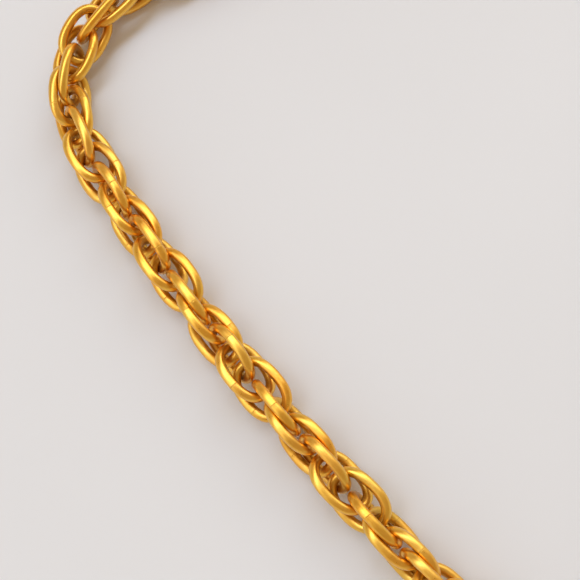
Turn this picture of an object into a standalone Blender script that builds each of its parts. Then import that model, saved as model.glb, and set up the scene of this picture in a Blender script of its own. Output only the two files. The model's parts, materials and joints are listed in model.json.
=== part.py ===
"""Gold rope-chain necklace, laid out unfastened on a flat surface.

Units are metres and +Z is up. The surface is z = 0 and the chain's centre line runs at half a
link's width above it. Links are numbered from the clasp end. Each oval link passes through the
two links before it, and turns about the chain by a sixth of a turn from one link to the next.
"""
import math

import bmesh
import bpy
from mathutils import Matrix, Vector

MM = 0.001

# Links
WIRE = 0.76 * MM            # wire of a link, as drawn
LINK_LENGTH = 5.25 * MM     # outside length
LINK_WIDTH = 3.75 * MM      # outside width
PITCH = 1.765 * MM          # spacing of link centres along the chain
OVAL_POWER = 2.4            # 2 is an ellipse, more has fuller shoulders
SOLID_WIRE = 0.72 * MM      # wire of the faceted solids, which leaves room for the links to turn
LINK_STEPS = 22             # facets round the oval
WIRE_SIDES = 6
TURN_PER_LINK = -60.0       # degrees about the chain's direction
TURN_PAIRING = 10.0         # degrees by which the turns alternate
TURN_START = 8.0            # degrees, at the reference link
AXIS_HEIGHT = LINK_WIDTH / 2

# How the chain is divided, in order from the clasp end
NEAR_RUNS = 2               # runs between the clasp end and the single links
NEAR_RUN_LINKS = 9
SINGLE_LINKS = 33
FAR_RUNS = 16
FAR_RUN_LINKS = 12
REFERENCE_LINK = 36
ROOT_PIECE = "chain_run_08"

# Route of the centre line: (length, degrees of left turn) of each arc, from the clasp end
ROUTE = (
    (26.9 * MM, 8.0),
    (17.1 * MM, 98.0),
    (19.5 * MM, 5.5),
    (22.0 * MM, 6.0),
    (68.0 * MM, 12.0),
    (280.0 * MM, 238.0),
)
START_HEADING = -161.5      # degrees from +X
CENTRE_SHIFT = Vector((-62.358, 41.118)) * MM   # puts the layout's middle over the origin

# Runs: plain rods that stand for the links of a hidden stretch
RUN_SIDES = 8
RUN_STEPS = 6
RUN_GAP = 0.4 * MM          # between two runs
RUN_CLEAR = 3.0 * MM        # from a single link's centre to the run beside it

# Jump rings at the two ends
RING_RADIUS = 2.5 * MM      # to the middle of the wire
RING_WIRE = 0.7 * MM
RING_REACH = 3.66 * MM      # from the end link's centre to the ring's centre
CATCH_RADIUS = 2.4 * MM
CATCH_WIRE = 0.9 * MM
CATCH_NEAR = Vector((4.5, 0.0, 1.5)) * MM
RING_STEPS = 24
RING_SIDES = 8

# Lobster clasp, measured from the centre of its eye
EYE_REACH = 5.475 * MM      # from the end link's centre to the eye's centre
EYE_OUTER = 1.7 * MM
EYE_HOLE = 1.02 * MM
EYE_LOW = 0.9 * MM
EYE_HIGH = 1.9 * MM
EYE_SIDES = 24
EYE_HOLE_SIDES = 20
CLASP_HEIGHT = 2.8 * MM
CLASP_EDGE = 0.3 * MM
NECK_LOW = (0.0, -1.0 * MM, EYE_LOW)
NECK_HIGH = (2.6 * MM, 1.0 * MM, EYE_HIGH)
PIN_AT = Vector((3.3, -1.1)) * MM
PIN_RADIUS = 0.30 * MM
PIN_HOLE = 0.35 * MM
PIN_SIDES = 16
PIN_END_GAP = 0.05 * MM
LEVER_LOW = 0.95 * MM
LEVER_HIGH = 1.85 * MM
LEVER_HOLE = 0.36 * MM
SLOT_LOW = (1.95 * MM, -4.0 * MM, 0.9 * MM)
SLOT_HIGH = (6.2 * MM, 0.35 * MM, 1.9 * MM)
SPRING_AT = Vector((4.55, 0.27, 1.4)) * MM
SPRING_LENGTH = 0.98 * MM
SPRING_RADIUS = 0.33 * MM
SPRING_WIRE = 0.14 * MM
SPRING_TURNS = 3.5
SPRING_STEPS = 12           # in each turn
SPRING_SIDES = 5

# Claw and lever as bands: (x, y, half width) along the middle, in mm
CLAW_BAND = (
    (1.75, -0.1, 1.35),
    (3.2, -0.05, 2.1),
    (5.0, 1.05, 1.6),
    (7.0, 1.95, 1.15),
    (9.3, 1.85, 1.0),
    (11.0, 0.75, 0.95),
    (11.45, -0.75, 0.85),
    (10.65, -1.95, 0.65),
)
LEVER_BAND = (
    (1.75, -3.15, 0.38),
    (2.35, -2.25, 0.50),
    (3.3, -1.2, 0.80),
    (5.2, -1.45, 0.70),
    (7.4, -1.95, 0.60),
    (9.62, -2.0, 0.48),
)
BAND_STEPS = 5
BAND_END_STEPS = 4
BAND_END_BULGE = 0.6        # of the band's half width there

LINK_COUNT = 1 + NEAR_RUNS * NEAR_RUN_LINKS + SINGLE_LINKS + FAR_RUNS * FAR_RUN_LINKS + 1


# ---------------------------------------------------------------- route and frames

def route_at(s):
    """Point and heading of the centre line at length s from the clasp end."""
    point = Vector((0.0, 0.0))
    heading = math.radians(START_HEADING)
    for n, (length, turn) in enumerate(ROUTE):
        last = n == len(ROUTE) - 1
        radius = length / math.radians(turn)
        here = s if last or s < length else length
        swing = here / radius
        point = point + radius * Vector((
            math.sin(heading + swing) - math.sin(heading),
            math.cos(heading) - math.cos(heading + swing),
        ))
        heading += swing
        s -= here
        if s <= 0:
            break
    return point + CENTRE_SHIFT, heading


def chain_frame(s):
    """Matrix at length s: X along the chain, Y to its left, Z up."""
    point, heading = route_at(s)
    return Matrix.Translation((point.x, point.y, AXIS_HEIGHT)) @ Matrix.Rotation(heading, 4, "Z")


def even_turn(index):
    """Turn of a link's plane about the chain, in degrees, as the single links have it."""
    n = index - REFERENCE_LINK
    return TURN_START + TURN_PER_LINK * n + (TURN_PAIRING if n % 2 == 0 else -TURN_PAIRING)


def link_turn(index):
    """Angle of a link's plane about the chain, in radians from upright.

    From the single links outwards it drifts a little, so that the two end links lie flat.
    """
    turn = even_turn(index)
    first, last = NEAR_RUNS * NEAR_RUN_LINKS + 1, NEAR_RUNS * NEAR_RUN_LINKS + SINGLE_LINKS
    for end, edge in ((0, first), (LINK_COUNT - 1, last)):
        if (index - edge) * (end - edge) > 0:
            drift = (90.0 - even_turn(end) + 90.0) % 180.0 - 90.0
            turn += drift * (index - edge) / (end - edge)
    return math.radians(turn)


def link_frame(index):
    """Matrix of a link: X along its length, Y across its width, Z square to its plane."""
    return chain_frame(index * PITCH) @ Matrix.Rotation(math.pi / 2 - link_turn(index), 4, "X")


# ---------------------------------------------------------------- meshes

def mesh_of(name, points, faces):
    mesh = bpy.data.meshes.new(name)
    mesh.from_pydata([tuple(p) for p in points], [], faces)
    bm = bmesh.new()
    bm.from_mesh(mesh)
    bmesh.ops.recalc_face_normals(bm, faces=bm.faces)
    bm.to_mesh(mesh)
    bm.free()
    return mesh


def swept_ring(name, middle, wire, sides):
    """Closed wire ring in the XY plane, round the points of its centre line."""
    steps = len(middle)
    points = []
    for k in range(steps):
        here = Vector(middle[k])
        along = (Vector(middle[(k + 1) % steps]) - Vector(middle[k - 1])).normalized()
        out = Vector((along.y, -along.x, 0.0))
        for m in range(sides):
            a = 2 * math.pi * (m + 0.5) / sides
            points.append(here + wire / 2 * (math.cos(a) * out + math.sin(a) * Vector((0, 0, 1))))
    faces = []
    for k in range(steps):
        for m in range(sides):
            a, b = k * sides, (k + 1) % steps * sides
            n = (m + 1) % sides
            faces.append((a + m, b + m, b + n, a + n))
    return mesh_of(name, points, faces)


def oval_line(steps):
    """Centre line of a link's wire."""
    half_length = (LINK_LENGTH - WIRE) / 2
    half_width = (LINK_WIDTH - WIRE) / 2
    line = []
    for k in range(steps):
        a = 2 * math.pi * k / steps
        c, s = math.cos(a), math.sin(a)
        line.append((
            half_length * math.copysign(abs(c) ** (2 / OVAL_POWER), c),
            half_width * math.copysign(abs(s) ** (2 / OVAL_POWER), s),
            0.0,
        ))
    return line


def circle_line(radius, steps):
    return [
        (radius * math.cos(2 * math.pi * k / steps), radius * math.sin(2 * math.pi * k / steps), 0.0)
        for k in range(steps)
    ]


def tube(name, rows):
    """Solid from rows of points, capped at both ends."""
    sides = len(rows[0])
    points = [p for row in rows for p in row]
    faces = [tuple(range(sides)), tuple(range(len(points) - sides, len(points)))]
    for k in range(len(rows) - 1):
        for m in range(sides):
            a, b, n = k * sides, (k + 1) * sides, (m + 1) % sides
            faces.append((a + m, a + n, b + n, b + m))
    return mesh_of(name, points, faces)


def run_mesh(name, start, stop):
    """Rod along the route from length start to length stop, flat where it lies."""
    corner = AXIS_HEIGHT / math.cos(math.pi / RUN_SIDES)
    rows = []
    for k in range(RUN_STEPS + 1):
        frame = chain_frame(start + (stop - start) * k / RUN_STEPS)
        rows.append([
            frame @ Vector((0.0, corner * math.cos(a), corner * math.sin(a)))
            for a in (2 * math.pi * (m + 0.5) / RUN_SIDES for m in range(RUN_SIDES))
        ])
    return tube(name, rows)


def smooth_band(band):
    """A band's middle and half width, with a Catmull-Rom curve through its points."""
    knots = [Vector(p) * MM for p in band]
    knots = [2 * knots[0] - knots[1]] + knots + [2 * knots[-1] - knots[-2]]
    rows = []
    for k in range(1, len(knots) - 2):
        a, b, c, d = knots[k - 1:k + 3]
        for m in range(BAND_STEPS):
            u = m / BAND_STEPS
            rows.append(0.5 * (
                2 * b + (c - a) * u + (2 * a - 5 * b + 4 * c - d) * u * u
                + (3 * b - a - 3 * c + d) * u * u * u
            ))
    return rows + [knots[-2]]


def band_outline(band):
    """Outline of a band with a rounded far end, as points in the XY plane."""
    rows = smooth_band(band)
    left, right = [], []
    for k, row in enumerate(rows):
        along = rows[min(k + 1, len(rows) - 1)] - rows[max(k - 1, 0)]
        along = Vector((along.x, along.y)).normalized()
        side = Vector((-along.y, along.x)) * row.z
        middle = Vector((row.x, row.y))
        left.append(middle + side)
        right.append(middle - side)
        last = (middle, along, side)
    middle, along, side = last
    end = []
    for k in range(1, BAND_END_STEPS):
        a = math.pi * k / BAND_END_STEPS
        end.append(middle + side * math.cos(a) + along * side.length * BAND_END_BULGE * math.sin(a))
    return left + end + right[::-1]


def plate(name, outline, low, high, edge=0.0):
    """Plate from an outline, with its top and bottom rims bevelled by edge."""
    bm = bmesh.new()
    loop = [bm.verts.new((p.x, p.y, low)) for p in outline]
    face = bm.faces.new(loop)
    made = bmesh.ops.extrude_face_region(bm, geom=[face])
    bmesh.ops.translate(
        bm,
        verts=[g for g in made["geom"] if isinstance(g, bmesh.types.BMVert)],
        vec=(0, 0, high - low),
    )
    bmesh.ops.recalc_face_normals(bm, faces=bm.faces)
    if edge:
        rims = [e for e in bm.edges if abs(e.verts[0].co.z - e.verts[1].co.z) < edge / 10]
        bmesh.ops.bevel(bm, geom=rims, offset=edge, segments=1, affect="EDGES")
    mesh = bpy.data.meshes.new(name)
    bm.to_mesh(mesh)
    bm.free()
    return mesh


def cylinder_mesh(name, radius, low, high, sides):
    rows = [
        [Vector((radius * math.cos(a), radius * math.sin(a), z))
         for a in (2 * math.pi * m / sides for m in range(sides))]
        for z in (low, high)
    ]
    return tube(name, rows)


def box_mesh(name, low, high):
    corners = ((low[0], low[1]), (high[0], low[1]), (high[0], high[1]), (low[0], high[1]))
    return plate(name, [Vector(c) for c in corners], low[2], high[2])


def spring_mesh(name):
    """Coil along -Y from its local origin."""
    steps = int(SPRING_STEPS * SPRING_TURNS)
    rows = []
    for k in range(steps + 1):
        a = 2 * math.pi * SPRING_TURNS * k / steps
        y = -SPRING_WIRE / 2 - (SPRING_LENGTH - SPRING_WIRE) * k / steps
        out = Vector((math.cos(a), 0.0, math.sin(a)))
        up = Vector((0.0, 1.0, 0.0))
        middle = SPRING_RADIUS * out + y * up
        rows.append([
            middle + SPRING_WIRE / 2 * (math.cos(b) * out + math.sin(b) * up)
            for b in (2 * math.pi * m / SPRING_SIDES for m in range(SPRING_SIDES))
        ])
    return tube(name, rows)


# ---------------------------------------------------------------- objects

def material(name, colour, roughness):
    made = bpy.data.materials.new(name)
    made.use_nodes = True
    shader = made.node_tree.nodes["Principled BSDF"]
    shader.inputs["Base Color"].default_value = (*colour, 1.0)
    shader.inputs["Roughness"].default_value = roughness
    shader.inputs["Metallic"].default_value = 1.0
    return made


def add(name, mesh, world, mat, parent=None):
    """Object at a world matrix, under the empty of its joint."""
    made = bpy.data.objects.new(name, mesh)
    bpy.context.collection.objects.link(made)
    if mat:
        mesh.materials.append(mat)
    place(made, world, parent)
    return made


def place(made, world, parent):
    held = parent.get("world_rows") if parent else None
    rest = Matrix([list(row) for row in held]) if held else Matrix.Identity(4)
    made.parent = parent
    made.matrix_parent_inverse = Matrix.Identity(4)
    made.matrix_basis = rest.inverted() @ world
    made["world_rows"] = [list(row) for row in world]


def joint_empty(name, point, axis, parent):
    """Empty on a joint, its Z axis along the joint's axis."""
    world = Matrix.Translation(point) @ axis.to_track_quat("Z", "Y").to_matrix().to_4x4()
    made = bpy.data.objects.new(name, None)
    bpy.context.collection.objects.link(made)
    made.empty_display_size = PITCH
    place(made, world, parent)
    return made


def cut(target, tool, how="DIFFERENCE"):
    """Boolean of two scratch objects, kept in the first."""
    step = target.modifiers.new("cut", "BOOLEAN")
    step.operation = how
    step.solver = "EXACT"
    step.object = tool
    bpy.context.view_layer.update()
    shape = bpy.data.meshes.new_from_object(target.evaluated_get(bpy.context.evaluated_depsgraph_get()))
    target.modifiers.remove(step)
    target.data = shape
    bpy.data.objects.remove(tool)


def scratch(mesh):
    made = bpy.data.objects.new("scratch", mesh)
    bpy.context.collection.objects.link(made)
    return made


def clear_scene():
    for old in list(bpy.data.objects):
        bpy.data.objects.remove(old)


# ---------------------------------------------------------------- chain

def chain_pieces():
    """(name, first link, last link) of each piece of the chain, in order."""
    pieces = [("end_link_clasp_side", 0, 0)]
    nth_run = 1
    nth_link = 1
    index = 1
    for count, size in ((NEAR_RUNS, NEAR_RUN_LINKS), (SINGLE_LINKS, 1), (FAR_RUNS, FAR_RUN_LINKS)):
        for _ in range(count):
            if size == 1:
                name = f"link_{nth_link:02d}"
                nth_link += 1
            else:
                name = f"chain_run_{nth_run:02d}"
                nth_run += 1
            pieces.append((name, index, index + size - 1))
            index += size
    return pieces + [("end_link_ring_side", index, index)]


def pivot(piece, after):
    """World point and axis of the joint between a piece and the next one along."""
    s = (piece[2] + 0.5) * PITCH
    frame = chain_frame(s)
    sign = 1.0 if after // 2 % 2 == 0 else -1.0
    axis = frame.to_3x3() @ Vector((0, 0, 1) if after % 2 == 0 else (0, 1, 0))
    return frame.translation, sign * axis


def build_chain(gold):
    pieces = chain_pieces()
    names = [p[0] for p in pieces]
    root = names.index(ROOT_PIECE)
    empties = {root: None}
    for k in list(range(root + 1, len(pieces))) + list(range(root - 1, -1, -1)):
        toward = k - 1 if k > root else k + 1
        first = min(k, toward)
        point, axis = pivot(pieces[first], first)
        turn = "yaw" if first % 2 == 0 else "pitch"
        empties[k] = joint_empty(f"{names[k]}_{turn}", point, axis, empties[toward])
    link_line = oval_line(LINK_STEPS)
    for k, (name, first, last) in enumerate(pieces):
        if first == last:
            mesh = swept_ring(name, link_line, SOLID_WIRE, WIRE_SIDES)
            add(name, mesh, link_frame(first), gold, empties[k])
            continue
        before_single = pieces[k - 1][1] == pieces[k - 1][2]
        after_single = pieces[k + 1][1] == pieces[k + 1][2]
        start = (first - 0.5) * PITCH + RUN_GAP / 2
        stop = (last + 0.5) * PITCH - RUN_GAP / 2
        if before_single:
            start = (first - 1) * PITCH + RUN_CLEAR
        if after_single:
            stop = (last + 1) * PITCH - RUN_CLEAR
        mesh = run_mesh(name, start, stop)
        middle = chain_frame((start + stop) / 2)
        mesh.transform(middle.inverted())
        add(name, mesh, middle, gold, empties[k])
    return empties[0], empties[len(pieces) - 1]


# ---------------------------------------------------------------- ends

def end_frame(index, outward):
    """Frame on the surface under an end link: X away from the chain, Z up."""
    point, heading = route_at(index * PITCH)
    turn = heading if outward > 0 else heading + math.pi
    return Matrix.Translation((point.x, point.y, 0.0)) @ Matrix.Rotation(turn, 4, "Z")


def build_jump_ring(name, frame, gold, link_empty):
    """Upright ring through an end link's hole, swinging about that link's end."""
    grip = frame @ Vector(((LINK_LENGTH - WIRE) / 2, 0.0, AXIS_HEIGHT))
    cross = frame.to_3x3() @ Vector((0, 1, 0))
    empty = joint_empty(f"{name}_swing", grip, cross, link_empty)
    centre = Matrix.Translation((RING_REACH, 0.0, RING_RADIUS + RING_WIRE / 2))
    upright = frame @ centre @ Matrix.Rotation(math.pi / 2, 4, "X")
    mesh = swept_ring(name, circle_line(RING_RADIUS, RING_STEPS), RING_WIRE, RING_SIDES)
    add(name, mesh, upright, gold, empty)
    return empty


def build_clasp(frame, gold, steel, ring_empty):
    eye = frame @ Matrix.Translation((EYE_REACH, 0.0, 0.0))
    body_empty = joint_empty("clasp_body_swivel", eye.translation, Vector((0, 0, 1)), ring_empty)

    body = scratch(plate("clasp_body", band_outline(CLAW_BAND), 0.0, CLASP_HEIGHT, CLASP_EDGE))
    cut(body, scratch(cylinder_mesh("eye", EYE_OUTER, EYE_LOW, EYE_HIGH, EYE_SIDES)), "UNION")
    cut(body, scratch(box_mesh("neck", NECK_LOW, NECK_HIGH)), "UNION")
    cut(body, scratch(cylinder_mesh("eye_hole", EYE_HOLE, -MM, CLASP_HEIGHT + MM, EYE_HOLE_SIDES)))
    cut(body, scratch(box_mesh("slot", SLOT_LOW, SLOT_HIGH)))
    hole = cylinder_mesh("pin_hole", PIN_HOLE, -MM, CLASP_HEIGHT + MM, PIN_SIDES)
    hole.transform(Matrix.Translation((PIN_AT.x, PIN_AT.y, 0.0)))
    cut(body, scratch(hole))
    mesh = body.data
    bpy.data.objects.remove(body)
    add("clasp_body", mesh, eye, gold, body_empty)

    pin_world = eye @ Matrix.Translation((PIN_AT.x, PIN_AT.y, 0.0))
    pin_top = CLASP_HEIGHT - PIN_END_GAP
    pin = cylinder_mesh("clasp_pin", PIN_RADIUS, PIN_END_GAP, pin_top, PIN_SIDES)
    add("clasp_pin", pin, pin_world, steel, body_empty)

    lever_empty = joint_empty("clasp_lever_open", pin_world.translation, Vector((0, 0, 1)), body_empty)
    lever = scratch(plate("clasp_lever", band_outline(LEVER_BAND), LEVER_LOW, LEVER_HIGH))
    hole = cylinder_mesh("lever_hole", LEVER_HOLE, -MM, CLASP_HEIGHT + MM, PIN_SIDES)
    hole.transform(Matrix.Translation((PIN_AT.x, PIN_AT.y, 0.0)))
    cut(lever, scratch(hole))
    mesh = lever.data
    bpy.data.objects.remove(lever)
    mesh.transform(Matrix.Translation((-PIN_AT.x, -PIN_AT.y, 0.0)))
    add("clasp_lever", mesh, pin_world, gold, lever_empty)

    spring = eye @ Matrix.Translation(SPRING_AT)
    add("clasp_spring", spring_mesh("clasp_spring"), spring, steel, body_empty)


def build_catch(frame, gold, ring_empty):
    """Ring that the clasp closes on, leaning from the jump ring down to the surface."""
    drop = CATCH_NEAR.z - CATCH_WIRE / 2
    lean = math.asin(drop / (2 * CATCH_RADIUS))
    near = frame @ Matrix.Translation(CATCH_NEAR) @ Matrix.Rotation(lean, 4, "Y")
    cross = frame.to_3x3() @ Vector((0, -1, 0))
    empty = joint_empty("catch_ring_lift", near.translation, cross, ring_empty)
    mesh = swept_ring("catch_ring", circle_line(CATCH_RADIUS, RING_STEPS), CATCH_WIRE, RING_SIDES)
    add("catch_ring", mesh, near @ Matrix.Translation((CATCH_RADIUS, 0.0, 0.0)), gold, empty)


def main():
    clear_scene()
    gold = material("gold_plated_brass", (0.83, 0.50, 0.12), 0.28)
    steel = material("spring_steel", (0.55, 0.54, 0.50), 0.35)
    clasp_side, ring_side = build_chain(gold)
    frame = end_frame(0, -1)
    ring = build_jump_ring("clasp_jump_ring", frame, gold, clasp_side)
    build_clasp(frame, gold, steel, ring)
    frame = end_frame(LINK_COUNT - 1, 1)
    ring = build_jump_ring("catch_jump_ring", frame, gold, ring_side)
    build_catch(frame, gold, ring)


main()
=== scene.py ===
"""Gold rope-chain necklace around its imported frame: every link, ring and clasp part with its finish.

Units are metres, +Z is up and the surface is z = 0. The route and the links' turns repeat the
frame's own, so that each link lies where its solid does.
"""
import json
import math

import bmesh
import bpy
import numpy as np
from mathutils import Matrix, Vector

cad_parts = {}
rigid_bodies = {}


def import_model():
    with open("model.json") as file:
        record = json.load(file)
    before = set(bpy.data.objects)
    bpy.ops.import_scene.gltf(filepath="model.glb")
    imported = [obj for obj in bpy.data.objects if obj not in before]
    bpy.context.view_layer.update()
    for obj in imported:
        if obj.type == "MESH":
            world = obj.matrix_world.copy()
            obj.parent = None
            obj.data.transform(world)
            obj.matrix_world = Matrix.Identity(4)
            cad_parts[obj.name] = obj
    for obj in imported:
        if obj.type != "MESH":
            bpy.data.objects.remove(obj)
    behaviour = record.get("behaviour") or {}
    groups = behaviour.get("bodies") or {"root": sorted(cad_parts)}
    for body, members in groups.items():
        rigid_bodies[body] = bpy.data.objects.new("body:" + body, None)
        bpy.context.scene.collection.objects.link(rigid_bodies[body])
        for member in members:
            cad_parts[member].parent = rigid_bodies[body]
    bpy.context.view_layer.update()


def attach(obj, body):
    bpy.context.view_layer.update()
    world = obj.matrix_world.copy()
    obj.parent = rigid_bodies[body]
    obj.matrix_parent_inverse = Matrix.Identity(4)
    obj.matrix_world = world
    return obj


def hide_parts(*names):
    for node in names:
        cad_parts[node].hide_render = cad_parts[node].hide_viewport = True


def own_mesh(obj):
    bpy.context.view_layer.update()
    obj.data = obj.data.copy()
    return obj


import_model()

MM = 0.001

# ---------------------------------------------------------------- the frame's layout

WIRE = 0.76 * MM            # thickness of the links' wire
LINK_LENGTH = 5.25 * MM
LINK_WIDTH = 3.75 * MM
PITCH = 1.765 * MM          # step along the chain from link to link
OVAL_POWER = 2.4            # of the links' superellipse outline
TURN_PER_LINK = -60.0       # degrees about the chain
TURN_PAIRING = 10.0         # degrees by which the turns alternate
TURN_START = 8.0            # degrees, at the reference link
AXIS_HEIGHT = LINK_WIDTH / 2
REFERENCE_LINK = 36
FIRST_SINGLE = 19           # index of the first link that is its own node
SINGLE_LINKS = 33
NEAR_RUN_LINKS = 9
FAR_RUN_LINKS = 12
NEAR_RUNS = 2
FAR_RUNS = 16
LINK_COUNT = 1 + NEAR_RUNS * NEAR_RUN_LINKS + SINGLE_LINKS + FAR_RUNS * FAR_RUN_LINKS + 1

# Arcs of the centre line from the clasp end: length, and left turn in degrees
ROUTE = (
    (26.9 * MM, 8.0),
    (17.1 * MM, 98.0),
    (19.5 * MM, 5.5),
    (22.0 * MM, 6.0),
    (68.0 * MM, 12.0),
    (280.0 * MM, 238.0),
)
START_HEADING = -161.5      # degrees from +X
CENTRE_SHIFT = Vector((-62.358, 41.118)) * MM


def route_at(s):
    """Point and heading of the centre line at length s from the clasp end."""
    point = Vector((0.0, 0.0))
    heading = math.radians(START_HEADING)
    for n, (length, turn) in enumerate(ROUTE):
        last = n == len(ROUTE) - 1
        radius = length / math.radians(turn)
        here = s if last or s < length else length
        swing = here / radius
        point = point + radius * Vector((
            math.sin(heading + swing) - math.sin(heading),
            math.cos(heading) - math.cos(heading + swing),
        ))
        heading += swing
        s -= here
        if s <= 0:
            break
    return point + CENTRE_SHIFT, heading


def chain_frame(s):
    """Matrix at length s: X along the chain, Y to its left, Z up."""
    point, heading = route_at(s)
    return Matrix.Translation((point.x, point.y, AXIS_HEIGHT)) @ Matrix.Rotation(heading, 4, "Z")


def plain_turn(index):
    """Turn of a link's plane about the chain, in degrees, by the regular weave."""
    n = index - REFERENCE_LINK
    return TURN_START + TURN_PER_LINK * n + (TURN_PAIRING if n % 2 == 0 else -TURN_PAIRING)


def link_turn(index):
    """Turn in radians. It drifts in the runs, so that the end links come to lie upright."""
    turn = plain_turn(index)
    last_single = FIRST_SINGLE + SINGLE_LINKS - 1
    for end, edge in ((0, FIRST_SINGLE), (LINK_COUNT - 1, last_single)):
        if (index - edge) * (end - edge) > 0:
            drift = (90.0 - plain_turn(end) + 90.0) % 180.0 - 90.0
            turn += drift * (index - edge) / (end - edge)
    return math.radians(turn)


# Unevenness of the single links, by place from the reference link: extra turn
# about the chain in degrees and sideways shift in mm
UNEVEN = {
    -17: (-1, -0.08), -16: (-7, -0.15), -15: (-5, 0.01), -14: (-1, -0.04), -13: (1, 0.08),
    -12: (4, 0.08), -11: (1, 0.16), -10: (-5, 0.02), -9: (17, 0.02), -8: (4, 0.06),
    -7: (4, -0.07), -6: (4, -0.03), -5: (17, -0.11), -4: (-12, 0.02), -3: (8, -0.01),
    -2: (16, -0.01), -1: (1, -0.15), 0: (8, -0.03), 1: (5, -0.05), 2: (-3, 0.03), 3: (4, -0.02),
    4: (11, 0.03), 5: (-5, -0.04), 6: (3, -0.03), 7: (1, 0.0), 8: (-9, 0.07), 9: (-7, 0.0),
    10: (0, 0.04), 11: (-17, -0.13), 12: (-7, -0.11), 13: (-1, -0.17),
}


def link_frame(index):
    """Matrix of a link: X along its length, Y across its width, Z square to its plane."""
    turn, shift = UNEVEN.get(index - REFERENCE_LINK, (0.0, 0.0))
    aside = Matrix.Translation((0.0, shift * MM, 0.0))
    angle = math.pi / 2 - link_turn(index) - math.radians(turn)
    return chain_frame(index * PITCH) @ aside @ Matrix.Rotation(angle, 4, "X")


# ---------------------------------------------------------------- wire links

SEAM_WIDTH = 0.030 * MM     # groove where a link's two wire ends meet
SEAM_DEPTH = 0.028          # of the wire's radius
SOLDER_RISE = 0.02          # of the wire's radius, beside the groove
SOLDER_REACH = 2.2          # seam widths
STAIN_REACH = 1.6           # seam widths
SEAM_RINGS = (-3.2, -1.7, -0.8, -0.35, 0.0, 0.35, 0.8, 1.7, 3.2)    # seam widths from the seam
SEAM_PLACE = 0.25           # of the way round, or the same on the other side
SEAM_STRAY = 0.09           # of the way round
HAND_BENT = 0.022 * MM      # how far a link's outline strays from its oval
SWELLS = ((3, 0.013), (7, 0.008))    # waves round the link in its wire's radius: count, height
OVAL_SAMPLES = 2881
LINK_SEED = 1000
RING_SEED = 50


def oval_curve():
    """Finely sampled centre line of a link's wire, with its running length from 0 to 1."""
    a = np.linspace(0.0, 2 * np.pi, OVAL_SAMPLES)
    c, s = np.cos(a), np.sin(a)
    half_length = (LINK_LENGTH - WIRE) / 2
    half_width = (LINK_WIDTH - WIRE) / 2
    x = half_length * np.sign(c) * np.abs(c) ** (2 / OVAL_POWER)
    y = half_width * np.sign(s) * np.abs(s) ** (2 / OVAL_POWER)
    step = np.hypot(np.diff(x), np.diff(y))
    length = np.concatenate([[0.0], np.cumsum(step)])
    return x, y, length / length[-1], length[-1]


OVAL_X, OVAL_Y, OVAL_U, OVAL_AROUND = oval_curve()


def oval_at(u):
    """Points of the centre line at shares u of the way round."""
    u = np.mod(u, 1.0)
    return np.stack([np.interp(u, OVAL_U, OVAL_X), np.interp(u, OVAL_U, OVAL_Y)], 1)


def link_rings(steps, seam, around):
    """Places round a closed wire, closer together at the seam, starting from it."""
    near = np.array(SEAM_RINGS) * SEAM_WIDTH / around
    middle = len(near) // 2
    span = near[-1] - near[0]
    rest = near[-1] + (1.0 - span) * np.arange(1, steps) / steps
    return seam + np.concatenate([near[middle:], rest, 1.0 + near[:middle]])


class Wire:
    """Gathers swept wires into one mesh, with the attributes that the finish reads."""

    def __init__(self):
        self.points, self.faces, self.uv = [], [], []
        self.inner, self.tone, self.seam = [], [], []
        self.count = 0

    def add(self, points, inner, tone, seam, along, around):
        """points: rings x sides x 3, closed both ways. along: running length of each ring."""
        rings, sides = points.shape[:2]
        base = self.count
        self.points.append(points.reshape(-1, 3))
        self.inner.append(inner.reshape(-1))
        self.tone.append(np.full(rings * sides, tone))
        self.seam.append(np.repeat(seam, sides))
        k, m = np.meshgrid(np.arange(rings), np.arange(sides), indexing="ij")
        k2, m2 = (k + 1) % rings, (m + 1) % sides
        quads = np.stack([k * sides + m, k2 * sides + m, k2 * sides + m2, k * sides + m2], -1)
        self.faces.append(quads.reshape(-1, 4) + base)
        total = along[-1] + along[1] - along[0]
        u0, u1 = along[k], np.where(k2 == 0, total, along[k2])
        v0, v1 = around * m / sides, around * (m + 1) / sides
        corners = np.stack([
            np.stack([u0, v0], -1), np.stack([u1, v0], -1),
            np.stack([u1, v1], -1), np.stack([u0, v1], -1),
        ], -2)
        self.uv.append(corners.reshape(-1, 2))
        self.count += rings * sides

    def mesh(self, name):
        made = bpy.data.meshes.new(name)
        points = np.concatenate(self.points)
        faces = np.concatenate(self.faces)
        made.from_pydata(points.tolist(), [], faces.tolist())
        layer = made.uv_layers.new(name="wire")
        layer.data.foreach_set("uv", (np.concatenate(self.uv) / MM).reshape(-1))
        for title, values in (("inner", self.inner), ("tone", self.tone), ("seam", self.seam)):
            held = made.attributes.new(title, "FLOAT", "POINT")
            held.data.foreach_set("value", np.concatenate(values).astype(np.float32))
        made.polygons.foreach_set("use_smooth", np.ones(len(faces), bool))
        made.update()
        return made


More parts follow.
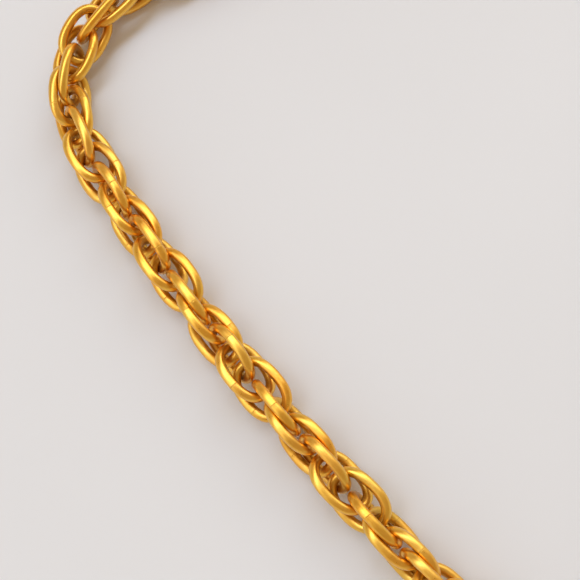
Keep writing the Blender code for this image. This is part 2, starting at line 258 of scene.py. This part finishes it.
def lay_wire(wire, u, seam, middle, out, lift, sides, around, thick, world, rng):
    """Round wire along a closed flat line, with its soldered seam and small uneven places."""
    away = np.abs(np.mod(u - seam + 0.5, 1.0) - 0.5) * around
    phase = rng.uniform(0, 2 * np.pi, 2)
    radius = np.ones(len(u))
    for (count, height), start in zip(SWELLS, phase):
        radius += height * np.sin(2 * np.pi * count * u + start)
    groove = np.exp(-((away / SEAM_WIDTH) ** 2) * 3)
    solder = np.exp(-((away / (SOLDER_REACH * SEAM_WIDTH)) ** 2))
    radius += SOLDER_RISE * solder - (SEAM_DEPTH + SOLDER_RISE) * groove
    a = 2 * np.pi * np.arange(sides) / sides + np.pi
    r = thick / 2 * radius[:, None]
    points = np.empty((len(u), sides, 3))
    points[..., 0] = middle[:, 0, None] + r * np.cos(a) * out[:, 0, None]
    points[..., 1] = middle[:, 1, None] + r * np.cos(a) * out[:, 1, None]
    points[..., 2] = lift[:, None] + r * np.sin(a)
    turned = np.array(world)
    placed = points @ turned[:3, :3].T + turned[:3, 3]
    inner = np.broadcast_to(-np.cos(a), (len(u), sides))
    mark = np.exp(-((away / (STAIN_REACH * SEAM_WIDTH)) ** 2))
    along = np.mod(u - seam, 1.0 + 1e-9) * around
    wire.add(placed, inner, rng.uniform(0.0, 1.0), mark, along, np.pi * thick)


def add_link(wire, index, steps, sides, rng):
    """One oval link, closed by hand: its outline and flatness stray a little."""
    seam = SEAM_PLACE + 0.5 * rng.integers(0, 2) + rng.uniform(-SEAM_STRAY, SEAM_STRAY)
    u = link_rings(steps, seam, OVAL_AROUND)
    along = oval_at(u + 1e-3) - oval_at(u - 1e-3)
    along /= np.linalg.norm(along, axis=1)[:, None]
    out = np.stack([along[:, 1], -along[:, 0]], 1)
    size = rng.uniform(-1.0, 1.0, 3) * HAND_BENT
    phase = rng.uniform(0.0, 1.0, 3)
    waves = np.stack([np.sin(2 * np.pi * (k * u + phase[k - 1])) for k in (1, 2, 3)])
    middle = oval_at(u) + out * (size @ waves)[:, None]
    bow = rng.uniform(-1.0, 1.0, 2) * HAND_BENT
    lift = bow[0] * np.cos(4 * np.pi * u) + bow[1] * np.sin(4 * np.pi * u)
    lay_wire(wire, u, seam, middle, out, lift, sides, OVAL_AROUND, WIRE, link_frame(index), rng)


def add_ring(wire, radius, thick, seam, steps, sides, world, rng):
    """One round ring of wire."""
    around = 2 * np.pi * radius
    u = link_rings(steps, seam, around)
    out = np.stack([np.cos(2 * np.pi * u), np.sin(2 * np.pi * u)], 1)
    lay_wire(wire, u, seam, radius * out, out, 0.0 * u, sides, around, thick, world, rng)


# ---------------------------------------------------------------- finishes


class Nodes:
    """Short names for building a node material."""

    def __init__(self, owner):
        """owner: a new material or world."""
        owner.use_nodes = True
        self.owner = owner
        self.tree = owner.node_tree

    def node(self, kind, **settings):
        made = self.tree.nodes.new(kind)
        for key, value in settings.items():
            setattr(made, key, value)
        return made

    def link(self, source, target):
        self.tree.links.new(source, target)

    def noise(self, vector, scale, detail=2.0, roughness=0.5):
        made = self.node("ShaderNodeTexNoise")
        made.inputs["Scale"].default_value = scale
        made.inputs["Detail"].default_value = detail
        made.inputs["Roughness"].default_value = roughness
        self.link(vector, made.inputs["Vector"])
        return made.outputs["Fac"]

    def remap(self, value, low, high, new_low=0.0, new_high=1.0, how="LINEAR"):
        made = self.node("ShaderNodeMapRange", interpolation_type=how)
        self.link(value, made.inputs["Value"])
        for key, number in zip(("From Min", "From Max", "To Min", "To Max"),
                               (low, high, new_low, new_high)):
            made.inputs[key].default_value = number
        return made.outputs["Result"]

    def maths(self, how, a, b):
        made = self.node("ShaderNodeMath", operation=how)
        for socket, value in zip(made.inputs, (a, b)):
            if isinstance(value, (int, float)):
                socket.default_value = value
            else:
                self.link(value, socket)
        return made.outputs[0]

    def mix(self, amount, a, b):
        made = self.node("ShaderNodeMix", data_type="RGBA")
        for key, value in (("Factor", amount), ("A", a), ("B", b)):
            socket = next(s for s in made.inputs if s.name == key and s.enabled)
            if isinstance(value, (int, float)):
                socket.default_value = value
            elif isinstance(value, tuple):
                socket.default_value = (*value, 1.0)
            else:
                self.link(value, socket)
        return next(s for s in made.outputs if s.enabled)

    def attribute(self, name):
        return self.node("ShaderNodeAttribute", attribute_name=name).outputs["Fac"]

    def facing(self, direction):
        """How far a ray into the world points along a direction, from -1 to 1."""
        made = self.node("ShaderNodeVectorMath", operation="DOT_PRODUCT")
        self.link(self.node("ShaderNodeTexCoord").outputs["Generated"], made.inputs[0])
        made.inputs[1].default_value = direction
        return made.outputs["Value"]

    def objects(self):
        """Place on the object, in metres."""
        return self.node("ShaderNodeTexCoord").outputs["Object"]

    def stretched(self, layer, scale):
        """A UV layer, scaled."""
        uv = self.node("ShaderNodeUVMap", uv_map=layer)
        mapping = self.node("ShaderNodeMapping")
        mapping.inputs["Scale"].default_value = scale
        self.link(uv.outputs["UV"], mapping.inputs["Vector"])
        return mapping.outputs["Vector"]

    def bump(self, height, strength, distance, before=None):
        made = self.node("ShaderNodeBump")
        made.inputs["Strength"].default_value = strength
        made.inputs["Distance"].default_value = distance
        self.link(height, made.inputs["Height"])
        if before:
            self.link(before, made.inputs["Normal"])
        return made.outputs["Normal"]

    def set(self, shader, **sockets):
        """Sets or links the sockets of the named shader."""
        for key, value in sockets.items():
            socket = self.tree.nodes[shader].inputs[key.replace("_", " ")]
            if isinstance(value, (int, float)):
                socket.default_value = value
            elif isinstance(value, tuple):
                socket.default_value = (*value, 1.0)
            else:
                self.link(value, socket)


SURFACE = "Principled BSDF"
GOLD = (0.93, 0.50, 0.050)
DEEP_GOLD = (0.90, 0.42, 0.030)
PALE_GOLD = (0.95, 0.62, 0.13)
GREEN_GOLD = (0.78, 0.53, 0.075)
# Dark brown of tarnish, also used as painted shade on the insides of the links
TARNISH_AND_SHADE = (0.30, 0.14, 0.014)
SEAM_DARK = (0.20, 0.10, 0.02)


BROAD, GREEN, GRIME_AND_SHADE, STAIN = 420.0, 260.0, 900.0, 2200.0     # texture scales, per metre
FINE, SCRATCHES, GRAIN = 2600.0, 5200.0, 7000.0
DRAWN = (0.6, 9.0, 1.0)     # lines left along the wire by its drawing
LINE_DEPTH = 0.006 * MM
SCRATCH_DEPTH = 0.004 * MM
DENT_DEPTH = 0.05 * MM


def gold_finish(name, wired):
    """Satin gold plate: uneven tone, tarnish and painted shade in the hollows, drawing lines and fine
    scratches.
    """
    n = Nodes(bpy.data.materials.new(name))
    place = n.objects()
    broad = n.noise(place, BROAD, 2.0)
    fine = n.noise(place, FINE, 3.0, 0.6)
    colour = n.mix(n.remap(broad, 0.35, 0.65), GOLD, DEEP_GOLD)
    colour = n.mix(n.maths("MULTIPLY", n.remap(fine, 0.5, 0.72), 0.35), colour, PALE_GOLD)
    # Patchy noise: grime on the cast parts, and the strength of the tarnish and painted shade in the
    # wires' hollows
    grime_and_shade_noise = n.remap(n.noise(place, GRIME_AND_SHADE, 4.0, 0.65), 0.45, 0.75)
    rough = n.remap(fine, 0.3, 0.7, 0.27, 0.35)
    if wired:
        tone = n.attribute("tone")
        colour = n.mix(n.maths("MULTIPLY", tone, 0.30), colour, PALE_GOLD)
        green = n.remap(n.noise(place, GREEN, 1.0), 0.50, 0.70, 0.0, 0.45)
        colour = n.mix(green, colour, GREEN_GOLD)
        # The insides of the links, where their neighbours shade them, are darkened with tarnish and
        # painted shade
        hollow = n.remap(n.attribute("inner"), -0.2, 1.0)
        tarnish_and_shade_mask = n.maths("MULTIPLY", hollow, n.remap(grime_and_shade_noise, 0.0, 1.0, 0.35, 0.85))
        colour = n.mix(tarnish_and_shade_mask, colour, TARNISH_AND_SHADE)
        patchy = n.remap(n.noise(place, STAIN, 2.0), 0.4, 0.62)
        seam = n.maths("MULTIPLY", n.attribute("seam"), n.maths("MULTIPLY", patchy, 0.25))
        colour = n.mix(seam, colour, SEAM_DARK)
        lines = n.noise(n.stretched("wire", DRAWN), 3.0, 3.0, 0.6)
        rough = n.maths("ADD", rough, n.maths("MULTIPLY", tarnish_and_shade_mask, 0.18))
    else:
        lines = n.noise(place, GRAIN, 2.0)
        colour = n.mix(n.maths("MULTIPLY", grime_and_shade_noise, 0.12), colour, TARNISH_AND_SHADE)
    scratch = n.noise(place, SCRATCHES, 4.0, 0.7)
    normal = n.bump(lines, 0.2, LINE_DEPTH)
    normal = n.bump(scratch, 0.15, SCRATCH_DEPTH, normal)
    normal = n.bump(broad, 0.3, DENT_DEPTH, normal)
    n.set(SURFACE, Base_Color=colour, Roughness=rough, Normal=normal, Metallic=1.0,
          Coat_Weight=0.5, Coat_Roughness=0.28)
    return n.owner


def steel_finish(name):
    """Brushed grey steel."""
    n = Nodes(bpy.data.materials.new(name))
    place = n.objects()
    fine = n.noise(place, 3000.0, 3.0, 0.6)
    colour = n.mix(n.remap(fine, 0.3, 0.7), (0.50, 0.50, 0.50), (0.62, 0.61, 0.59))
    n.set(SURFACE, Base_Color=colour, Roughness=n.remap(fine, 0.3, 0.7, 0.22, 0.38),
          Normal=n.bump(fine, 0.2, 0.01 * MM), Metallic=1.0)
    return n.owner


def floor_finish():
    """Matt pale surface, faintly uneven."""
    n = Nodes(bpy.data.materials.new("floor_finish"))
    place = n.objects()
    broad = n.noise(place, 30.0, 2.0)
    colour = n.mix(broad, (0.772, 0.79, 0.782), (0.822, 0.84, 0.832))
    n.set(SURFACE, Base_Color=colour, Roughness=0.85)
    return n.owner


wire_gold = gold_finish("gold_wire_finish", True)
cast_gold = gold_finish("gold_cast_finish", False)
steel = steel_finish("steel_finish")


def add_piece(name, mesh, mat, body, node):
    """Object that stands for a node of the frame and moves with its body."""
    made = bpy.data.objects.new(name, mesh)
    bpy.context.collection.objects.link(made)
    mesh.materials.append(mat)
    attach(made, body)
    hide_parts(node)
    return made


# ---------------------------------------------------------------- chain

SINGLE_DETAIL = (72, 18)    # steps round a link, sides of its wire
RUN_DETAIL = (48, 12)


def build_chain():
    """Every link, gathered by the node that it belongs to."""
    groups = [("end_link_clasp_side", 0, 0, SINGLE_DETAIL)]
    index = 1
    for nth in range(NEAR_RUNS):
        groups.append((f"chain_run_{nth + 1:02d}", index, index + NEAR_RUN_LINKS - 1, RUN_DETAIL))
        index += NEAR_RUN_LINKS
    for nth in range(SINGLE_LINKS):
        groups.append((f"link_{nth + 1:02d}", index, index, SINGLE_DETAIL))
        index += 1
    for nth in range(NEAR_RUNS, NEAR_RUNS + FAR_RUNS):
        groups.append((f"chain_run_{nth + 1:02d}", index, index + FAR_RUN_LINKS - 1, RUN_DETAIL))
        index += FAR_RUN_LINKS
    groups.append(("end_link_ring_side", index, index, SINGLE_DETAIL))
    for node, first, last, (steps, sides) in groups:
        wire = Wire()
        for n in range(first, last + 1):
            add_link(wire, n, steps, sides, np.random.default_rng(LINK_SEED + n))
        add_piece(f"{node}_wire", wire.mesh(f"{node}_wire"), wire_gold, node, node)


build_chain()

# ---------------------------------------------------------------- rings and clasp

RING_RADIUS = 2.5 * MM
RING_WIRE = 0.7 * MM
RING_REACH = 3.66 * MM      # from the end link's middle to the ring's
CATCH_RADIUS = 2.4 * MM
CATCH_WIRE = 0.9 * MM
CATCH_NEAR = Vector((4.5, 0.0, 1.5)) * MM    # side of the catch ring that is held up
EYE_REACH = 5.475 * MM      # from the end link's middle to the clasp's eye
RING_DETAIL = (80, 20)


def end_frame(index, outward):
    """Frame on the surface under an end link: X away from the chain, Z up."""
    point, heading = route_at(index * PITCH)
    turn = heading if outward > 0 else heading + math.pi
    return Matrix.Translation((point.x, point.y, 0.0)) @ Matrix.Rotation(turn, 4, "Z")


def build_rings():
    """The two jump rings stand upright, and the catch ring leans on its jump ring."""
    quarter = Matrix.Rotation(math.pi / 2, 4, "X")
    upright = Matrix.Translation((RING_REACH, 0.0, RING_RADIUS + RING_WIRE / 2)) @ quarter
    lean = math.asin((CATCH_NEAR.z - CATCH_WIRE / 2) / (2 * CATCH_RADIUS))
    lying = (
        Matrix.Translation(CATCH_NEAR)
        @ Matrix.Rotation(lean, 4, "Y")
        @ Matrix.Translation((CATCH_RADIUS, 0.0, 0.0))
    )
    clasp_side, ring_side = end_frame(0, -1), end_frame(LINK_COUNT - 1, 1)
    rings = (
        ("clasp_jump_ring", RING_RADIUS, RING_WIRE, 0.21, clasp_side @ upright),
        ("catch_jump_ring", RING_RADIUS, RING_WIRE, 0.29, ring_side @ upright),
        ("catch_ring", CATCH_RADIUS, CATCH_WIRE, 0.37, ring_side @ lying),
    )
    for n, (node, radius, thick, seam, world) in enumerate(rings):
        wire = Wire()
        rng = np.random.default_rng(RING_SEED + n)
        add_ring(wire, radius, thick, seam, *RING_DETAIL, world, rng)
        add_piece(f"{node}_wire", wire.mesh(f"{node}_wire"), wire_gold, node, node)


# Claw and lever: (x, y, half width, half height) along the middle, in mm from the eye's centre
CLAW = (
    (0.95, 0.0, 1.10, 0.46),
    (1.75, -0.06, 1.50, 0.92),
    (3.2, -0.05, 2.1, 1.36),
    (5.0, 1.05, 1.6, 1.40),
    (7.0, 1.95, 1.15, 1.32),
    (9.3, 1.85, 1.0, 1.18),
    (11.0, 0.75, 0.95, 1.05),
    (11.45, -0.75, 0.85, 0.92),
    (10.65, -1.95, 0.65, 0.74),
)
LEVER = (
    (1.75, -3.15, 0.44, 0.56),
    (2.35, -2.25, 0.46, 0.44),
    (3.3, -1.2, 0.78, 0.43),
    (5.2, -1.45, 0.68, 0.43),
    (7.4, -1.95, 0.60, 0.44),
    (9.62, -2.0, 0.48, 0.42),
)
CLASP_MIDDLE = 1.4          # height of its middle plane
SECTION_POWER = 2.7         # of the superellipse section
BAR_STEPS = 8               # from knot to knot
BAR_SIDES = 28
DOME_ANGLES = (25.0, 45.0, 62.0, 76.0, 86.0)
DOME_REACH = 0.8            # of the bar's half width
EYE_RING = (1.36, 0.34, 0.50)       # radius to its middle, half width, half height
EYE_DETAIL = (64, 20)
EYE_HOLE = 1.02
SLOT = ((1.95, -4.0, 0.9), (6.2, 0.35, 1.9))    # lowest and highest corners
PIN_AT = (3.3, -1.1)
PIN_RADIUS = 0.30
PIN_FIT = 0.02
LEVER_FIT = 0.03
PIN_DOME = ((0.10, 0.012), (0.2, 0.03), (0.26, 0.07), (PIN_RADIUS, 0.14))    # radius, height
PIN_SIDES = 32
HOLE_SIDES = 48
CUT_FROM = -1.0
CUT_TO = 2 * CLASP_MIDDLE + 1.0
SPRING_AT = (4.55, 0.27, 1.4)       # end of the coil that rests on the body
SPRING_LENGTH = 0.98
SPRING_RADIUS = 0.33
SPRING_WIRE = 0.14
SPRING_TURNS = 3.5
SPRING_STEPS = 28           # to a turn
SPRING_SIDES = 12
VOXEL = 0.07
SOFTENING = (0.5, 6)        # factor, repeats


def smooth_rows(knots, steps):
    """Catmull-Rom curve through the knots."""
    k = np.array(knots)
    k = np.vstack([2 * k[0] - k[1], k, 2 * k[-1] - k[-2]])
    rows = []
    for n in range(1, len(k) - 2):
        a, b, c, d = k[n - 1:n + 3]
        for m in range(steps):
            t = m / steps
            rows.append(0.5 * (2 * b + (c - a) * t + (2 * a - 5 * b + 4 * c - d) * t ** 2
                               + (3 * b - a - 3 * c + d) * t ** 3))
    return np.array(rows + [k[-2]])


def round_angles(sides):
    return 2 * np.pi * np.arange(sides) / sides


def closed_mesh(name, points):
    """Capped tube from rings of points, facing out."""
    sides = len(points[0])
    bm = bmesh.new()
    rings = [[bm.verts.new(p) for p in ring] for ring in points]
    for a, b in zip(rings, rings[1:]):
        for m in range(sides):
            bm.faces.new((a[m], a[(m + 1) % sides], b[(m + 1) % sides], b[m]))
    bm.faces.new(rings[0])
    bm.faces.new(rings[-1])
    bmesh.ops.recalc_face_normals(bm, faces=bm.faces)
    mesh = bpy.data.meshes.new(name)
    bm.to_mesh(mesh)
    bm.free()
    return mesh


def dome(section, outward):
    """Sections that close a bar, from its end section outward along its middle line."""
    tip, step, wide, tall = section
    angles = np.radians(DOME_ANGLES)
    return [
        (tip + outward * step * wide * DOME_REACH * math.sin(a), step,
         wide * math.cos(a), tall * math.cos(a))
        for a in angles
    ]


def rounded_bar(name, knots, round_start):
    """Bar of rounded section along its knots, in mm, domed at its far end."""
    rows = smooth_rows(knots, BAR_STEPS)
    ahead = np.vstack([rows[1:], 2 * rows[-1] - rows[-2]])
    behind = np.vstack([2 * rows[0] - rows[1], rows[:-1]])
    along = (ahead - behind)[:, :2]
    along /= np.linalg.norm(along, axis=1)[:, None]
    sections = [(row[:2], step, row[2], row[3]) for row, step in zip(rows, along)]
    start = dome(sections[0], -1)[::-1] if round_start else []
    sections = start + sections + dome(sections[-1], 1)
    angle = round_angles(BAR_SIDES)
    c, s = np.cos(angle), np.sin(angle)
    across = np.sign(c) * np.abs(c) ** (2 / SECTION_POWER)
    height = np.sign(s) * np.abs(s) ** (2 / SECTION_POWER)
    points = []
    for middle, step, wide, tall in sections:
        side = np.array([-step[1], step[0]])
        ring = np.empty((BAR_SIDES, 3))
        ring[:, :2] = middle + (wide * across)[:, None] * side
        ring[:, 2] = CLASP_MIDDLE + tall * height
        points.append(ring)
    return closed_mesh(name, points)


def upright_prism(name, corners, low, high):
    """Straight block on a flat outline, from height low to high."""
    rings = [np.column_stack([corners, np.full(len(corners), z)]) for z in (low, high)]
    return closed_mesh(name, rings)


def hole_tool(name, at, radius):
    angle = round_angles(HOLE_SIDES)
    outline = np.stack([at[0] + radius * np.cos(angle), at[1] + radius * np.sin(angle)], 1)
    return upright_prism(name, outline, CUT_FROM, CUT_TO)


def slot_tool(name, low, high):
    outline = np.array([(low[0], low[1]), (high[0], low[1]), (high[0], high[1]), (low[0], high[1])])
    return upright_prism(name, outline, low[2], high[2])


def eye_ring(name, radius, wide, tall):
    """Ring of oval section about the eye."""
    mesh = bpy.data.meshes.new(name)
    steps, sides = EYE_DETAIL
    points, faces = [], []
    for k in range(steps):
        a = 2 * math.pi * k / steps
        for m in range(sides):
            b = 2 * math.pi * m / sides
            r = radius + wide * math.cos(b)
            points.append((r * math.cos(a), r * math.sin(a), CLASP_MIDDLE + tall * math.sin(b)))
            k2, m2 = (k + 1) % steps, (m + 1) % sides
            faces.append((k * sides + m, k2 * sides + m, k2 * sides + m2, k * sides + m2))
    mesh.from_pydata(points, [], faces)
    return mesh


def helper(mesh):
    made = bpy.data.objects.new("helper", mesh)
    bpy.context.collection.objects.link(made)
    return made


def settle(made):
    """Mesh of an object with its modifiers applied; the object goes."""
    bpy.context.view_layer.update()
    evaluated = made.evaluated_get(bpy.context.evaluated_depsgraph_get())
    shape = bpy.data.meshes.new_from_object(evaluated)
    bpy.data.objects.remove(made)
    return shape


def cast(name, base, tools):
    """Joins or cuts the tools, then rounds every edge as a casting has them."""
    made = helper(base)
    used = []
    for how, mesh in tools:
        tool = helper(mesh)
        used.append(tool)
        step = made.modifiers.new(how, "BOOLEAN")
        step.operation = how
        step.solver = "EXACT"
        step.object = tool
        step.use_self = True
    remesh = made.modifiers.new("remesh", "REMESH")
    remesh.mode = "VOXEL"
    remesh.voxel_size = VOXEL
    soften = made.modifiers.new("soften", "SMOOTH")
    soften.factor, soften.iterations = SOFTENING
    shape = settle(made)
    for tool in used:
        bpy.data.objects.remove(tool)
    shape.name = name
    return shape


def add_shape(name, mesh, world, mat, body, node):
    """Places a mesh made in mm and adds it as a piece."""
    mesh.transform(world @ Matrix.Scale(MM, 4))
    mesh.polygons.foreach_set("use_smooth", np.ones(len(mesh.polygons), bool))
    mesh.materials.clear()
    return add_piece(name, mesh, mat, body, node)


def spring_mesh(name):
    """Open coil along -Y."""
    steps = int(SPRING_STEPS * SPRING_TURNS)
    b = round_angles(SPRING_SIDES)[:, None]
    up = np.array([0.0, 1.0, 0.0])
    points = []
    for k in range(steps + 1):
        a = 2 * math.pi * SPRING_TURNS * k / steps
        y = -SPRING_WIRE / 2 - (SPRING_LENGTH - SPRING_WIRE) * k / steps
        out = np.array([math.cos(a), 0.0, math.sin(a)])
        middle = np.array(SPRING_AT) + SPRING_RADIUS * out + y * up
        points.append(middle + SPRING_WIRE / 2 * (np.cos(b) * out + np.sin(b) * up))
    return closed_mesh(name, points)


def pin_mesh(name):
    """Rivet with domed ends."""
    angle = round_angles(PIN_SIDES)
    far_end = [(r, 2 * CLASP_MIDDLE - z) for r, z in reversed(PIN_DOME)]
    points = []
    for r, z in list(PIN_DOME) + far_end:
        x, y = PIN_AT[0] + r * np.cos(angle), PIN_AT[1] + r * np.sin(angle)
        points.append(np.column_stack([x, y, np.full(PIN_SIDES, z)]))
    return closed_mesh(name, points)


def build_clasp():
    eye = end_frame(0, -1) @ Matrix.Translation((EYE_REACH, 0.0, 0.0))
    body = cast("clasp_body_cast", rounded_bar("claw", CLAW, False), (
        ("UNION", eye_ring("eye_ring", *EYE_RING)),
        ("DIFFERENCE", hole_tool("eye_hole", (0.0, 0.0), EYE_HOLE)),
        ("DIFFERENCE", slot_tool("slot", *SLOT)),
        ("DIFFERENCE", hole_tool("pin_hole", PIN_AT, PIN_RADIUS + PIN_FIT)),
    ))
    lever = cast("clasp_lever_cast", rounded_bar("lever", LEVER, True), (
        ("DIFFERENCE", hole_tool("lever_hole", PIN_AT, PIN_RADIUS + LEVER_FIT)),
    ))
    add_shape("clasp_body_cast", body, eye, cast_gold, "clasp_body", "clasp_body")
    add_shape("clasp_lever_cast", lever, eye, cast_gold, "clasp_lever", "clasp_lever")
    add_shape("clasp_pin_rivet", pin_mesh("clasp_pin_rivet"), eye, steel,
              "clasp_body", "clasp_pin")
    spring = add_shape("clasp_spring_coil", spring_mesh("clasp_spring_coil"), eye, steel,
                       "clasp_body", "clasp_spring")
    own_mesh(spring)


build_rings()
build_clasp()

# ---------------------------------------------------------------- floor, lights and camera


FLOOR_REACH = 3.0


def add_floor():
    r = FLOOR_REACH
    mesh = bpy.data.meshes.new("floor")
    mesh.from_pydata([(-r, -r, 0), (r, -r, 0), (r, r, 0), (-r, r, 0)], [], [(0, 1, 2, 3)])
    mesh.materials.append(floor_finish())
    made = bpy.data.objects.new("floor", mesh)
    bpy.context.collection.objects.link(made)


def area_light(name, at, aim, size, power, colour, across):
    """Soft box facing its aim, with its long side along the direction across."""
    back = (Vector(at) - Vector(aim)).normalized()
    side = Vector(across)
    side = (side - side.dot(back) * back).normalized()
    turn = Matrix((side, back.cross(side), back)).transposed()
    data = bpy.data.lights.new(name, "AREA")
    data.shape = "RECTANGLE"
    data.size, data.size_y = size
    data.energy = power
    data.color = colour
    made = bpy.data.objects.new(name, data)
    made.matrix_world = Matrix.Translation(at) @ turn.to_4x4()
    bpy.context.collection.objects.link(made)


ACROSS_CHAIN = (0.766, 0.643, 0.0)
LIT_PLACE = (-0.06, 0.0, 0.0)
GLOW_DIRECTION = (-0.239, 0.252, 0.938)      # towards the middle of the bright band
GLOW_NARROW = (-0.603, 0.718, -0.347)        # square to the band
BAND_EDGES = (0.02, 0.27)
BAND_FADE = (0.0, 0.75)
HORIZON_EDGES = (0.10, 0.40)
WARM_ROOM = (1.10, 0.84, 0.58)
COOL_BAND = (0.86, 1.02, 1.30)
PALE_HORIZON = (0.98, 0.97, 0.95)
ROOM_STRENGTH, BAND_STRENGTH, HORIZON_STRENGTH = 0.46, 2.1, 0.29


def add_studio():
    """A bright band overhead that reaches far to both sides, in a dim room, pale low down."""
    world = bpy.data.worlds.new("studio")
    n = Nodes(world)
    off_band = n.maths("ABSOLUTE", n.facing(GLOW_NARROW), 0.0)
    band = n.remap(off_band, *BAND_EDGES, 1.0, 0.0, "SMOOTHSTEP")
    above = n.remap(n.facing(GLOW_DIRECTION), *BAND_FADE, 0.0, 1.0, "SMOOTHSTEP")
    glow = n.maths("MULTIPLY", band, above)
    horizon = n.remap(n.facing((0.0, 0.0, 1.0)), *HORIZON_EDGES, 1.0, 0.0, "SMOOTHSTEP")
    colour = n.mix(horizon, n.mix(glow, WARM_ROOM, COOL_BAND), PALE_HORIZON)
    strength = n.maths("ADD", n.maths("MULTIPLY", glow, BAND_STRENGTH), ROOM_STRENGTH)
    strength = n.maths("ADD", strength, n.maths("MULTIPLY", horizon, HORIZON_STRENGTH))
    n.set("Background", Color=colour, Strength=strength)
    bpy.context.scene.world = world


add_floor()
area_light("key", (-0.205, 0.153, 0.567), LIT_PLACE, (0.60, 0.10), 0.45, (0.92, 1.0, 1.2),
           ACROSS_CHAIN)
area_light("rim", (0.16, 0.50, 0.30), LIT_PLACE, (0.35, 0.20), 0.4, (1.0, 0.98, 0.94),
           ACROSS_CHAIN)
add_studio()

TARGET = Vector((-74.90, 5.44, 1.875)) * MM
DISTANCE = 79.9 * MM
TILT = math.radians(13.45)
TILT_AXIS = math.radians(114.6 + 90.0)
ROLL = math.radians(0.79)
LENS = 66.7
SENSOR = 36.0
CLIP = (0.002, 20.0)

camera_data = bpy.data.cameras.new("camera")
camera_data.lens = LENS
camera_data.sensor_width = SENSOR
camera_data.clip_start, camera_data.clip_end = CLIP
camera = bpy.data.objects.new("camera", camera_data)
axis = Vector((math.cos(TILT_AXIS), math.sin(TILT_AXIS), 0.0))
camera.matrix_world = (
    Matrix.Translation(TARGET)
    @ Matrix.Rotation(-TILT, 4, axis)
    @ Matrix.Translation((0.0, 0.0, DISTANCE))
    @ Matrix.Rotation(ROLL, 4, "Z")
)
bpy.context.collection.objects.link(camera)
bpy.context.scene.camera = camera
bpy.context.scene.view_settings.view_transform = "Standard"
